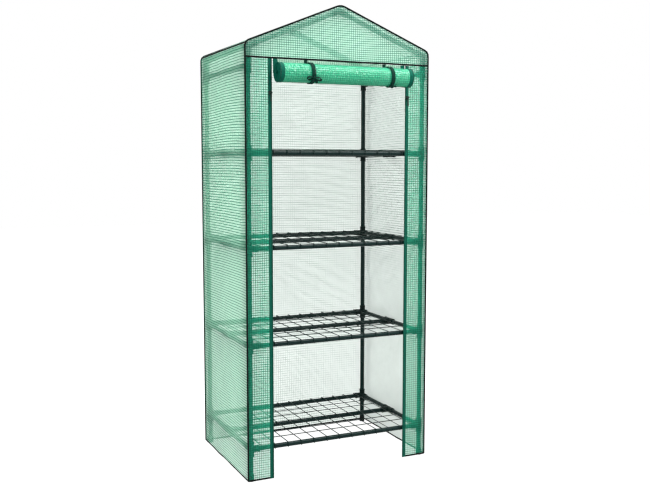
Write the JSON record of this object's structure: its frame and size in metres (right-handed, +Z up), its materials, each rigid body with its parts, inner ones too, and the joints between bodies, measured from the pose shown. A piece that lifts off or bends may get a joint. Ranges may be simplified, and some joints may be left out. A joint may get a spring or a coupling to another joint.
{
  "type": "four-tier shelving greenhouse",
  "caption": "Upright shelving greenhouse: plug-together tube frame with wire shelves, gable mesh cover and a zipped door rolled up under the roof.",
  "frame": {"origin": "on the ground, under the middle of the whole object's box, which includes the rolled door", "axes": "+Z up, X across the width, the door faces -Y"},
  "size_m": [0.69, 0.5666, 1.6],
  "materials": {
    "frame_tube": "dark green powder coat, satin",
    "connector_plastic": "dark green moulded plastic",
    "foot_plastic": "black moulded plastic",
    "shelf_wire": "dark green plastic-dipped wire",
    "cover_mesh": "translucent pale green film over a woven thread grid",
    "binding": "black-green woven binding with a stitch line",
    "zip_tape": "dark green woven zip tape",
    "door_roll_mesh": "glossy layered green mesh film",
    "zip_plastic": "dark moulded zip hardware"
  },
  "bodies": {
    "frame": {"foot_caps": "foot_plastic", "foot_tubes": "frame_tube", "front_left_post_tubes": "frame_tube", "front_right_post_tubes": "frame_tube", "back_left_post_tubes": "frame_tube", "back_right_post_tubes": "frame_tube", "tier_1_corner_connectors": "connector_plastic", "tier_1_tee_connectors": "connector_plastic", "tier_1_side_tubes": "frame_tube", "tier_1_front_tube": "frame_tube", "tier_1_middle_tube": "frame_tube", "tier_1_back_tube": "frame_tube", "tier_2_corner_connectors": "connector_plastic", "tier_2_tee_connectors": "connector_plastic", "tier_2_side_tubes": "frame_tube", "tier_2_front_tube": "frame_tube", "tier_2_middle_tube": "frame_tube", "tier_2_back_tube": "frame_tube", "tier_3_corner_connectors": "connector_plastic", "tier_3_tee_connectors": "connector_plastic", "tier_3_side_tubes": "frame_tube", "tier_3_front_tube": "frame_tube", "tier_3_middle_tube": "frame_tube", "tier_3_back_tube": "frame_tube", "tier_4_corner_connectors": "connector_plastic", "tier_4_tee_connectors": "connector_plastic", "tier_4_side_tubes": "frame_tube", "tier_4_front_tube": "frame_tube", "tier_4_middle_tube": "frame_tube", "tier_4_back_tube": "frame_tube", "eave_connectors": "connector_plastic", "eave_side_tubes": "frame_tube", "rafters": "frame_tube", "apex_connectors": "connector_plastic", "ridge_tube": "frame_tube"},
    "cover": {"left_wall": "cover_mesh", "right_wall": "cover_mesh", "roof": "cover_mesh", "back_panel": "cover_mesh", "front_gable": "cover_mesh", "left_front_strip": "cover_mesh", "right_front_strip": "cover_mesh", "gable_piping": "binding", "eave_piping": "binding", "header_seam": "binding", "bottom_hem": "binding", "left_zip_tape": "zip_tape", "right_zip_tape": "zip_tape", "left_door_tie": "binding", "right_door_tie": "binding"},
    "door_sheet": {"door_sheet": "cover_mesh"},
    "door_roll": {"door_roll": "door_roll_mesh"},
    "left_zip_slider": {"left_zip_slider": "zip_plastic"},
    "left_zip_pull": {"left_zip_pull": "zip_plastic"},
    "right_zip_slider": {"right_zip_slider": "zip_plastic"},
    "right_zip_pull": {"right_zip_pull": "zip_plastic"},
    "wire_shelf_1": {"wire_shelf_1": "shelf_wire"},
    "wire_shelf_2": {"wire_shelf_2": "shelf_wire"},
    "wire_shelf_3": {"wire_shelf_3": "shelf_wire"},
    "wire_shelf_4": {"wire_shelf_4": "shelf_wire"}
  },
  "joints": [
    {"name": "cover_lift", "type": "slide", "parent": "frame", "child": "cover", "axis": [0, 0, 1], "range_m": [0, 1.62]},
    {"name": "door_unroll", "type": "slide", "parent": "cover", "child": "door_sheet", "axis": [0, 0, -1], "range_m": [0, 1.319], "deforming": ["door_sheet", "left_door_tie", "right_door_tie"]},
    {"name": "door_roll_spin", "type": "hinge", "parent": "door_sheet", "child": "door_roll", "pos_m": [0, -0.2408, 1.365], "axis": [1, 0, 0], "range_deg": [0, 2161]},
    {"name": "left_zip_slide", "type": "slide", "parent": "cover", "child": "left_zip_slider", "axis": [0, 0, -1], "range_m": [0, 1.16]},
    {"name": "left_pull_swing", "type": "hinge", "parent": "left_zip_slider", "child": "left_zip_pull", "pos_m": [-0.257, -0.214, 1.3], "axis": [-1, 0, 0], "range_deg": [0, 150]},
    {"name": "right_zip_slide", "type": "slide", "parent": "cover", "child": "right_zip_slider", "axis": [0, 0, -1], "range_m": [0, 1.16]},
    {"name": "right_pull_swing", "type": "hinge", "parent": "right_zip_slider", "child": "right_zip_pull", "pos_m": [0.257, -0.214, 1.3], "axis": [-1, 0, 0], "range_deg": [0, 150]},
    {"name": "shelf_1_lift", "type": "slide", "parent": "frame", "child": "wire_shelf_1", "axis": [0, 0, 1], "range_m": [0, 0.12]},
    {"name": "shelf_2_lift", "type": "slide", "parent": "frame", "child": "wire_shelf_2", "axis": [0, 0, 1], "range_m": [0, 0.12]},
    {"name": "shelf_3_lift", "type": "slide", "parent": "frame", "child": "wire_shelf_3", "axis": [0, 0, 1], "range_m": [0, 0.12]},
    {"name": "shelf_4_lift", "type": "slide", "parent": "frame", "child": "wire_shelf_4", "axis": [0, 0, 1], "range_m": [0, 0.12]}
  ],
  "couplings": [
    {"joint": "door_roll_spin", "follows": "door_unroll", "rad_per_m": 28.582}
  ]
}
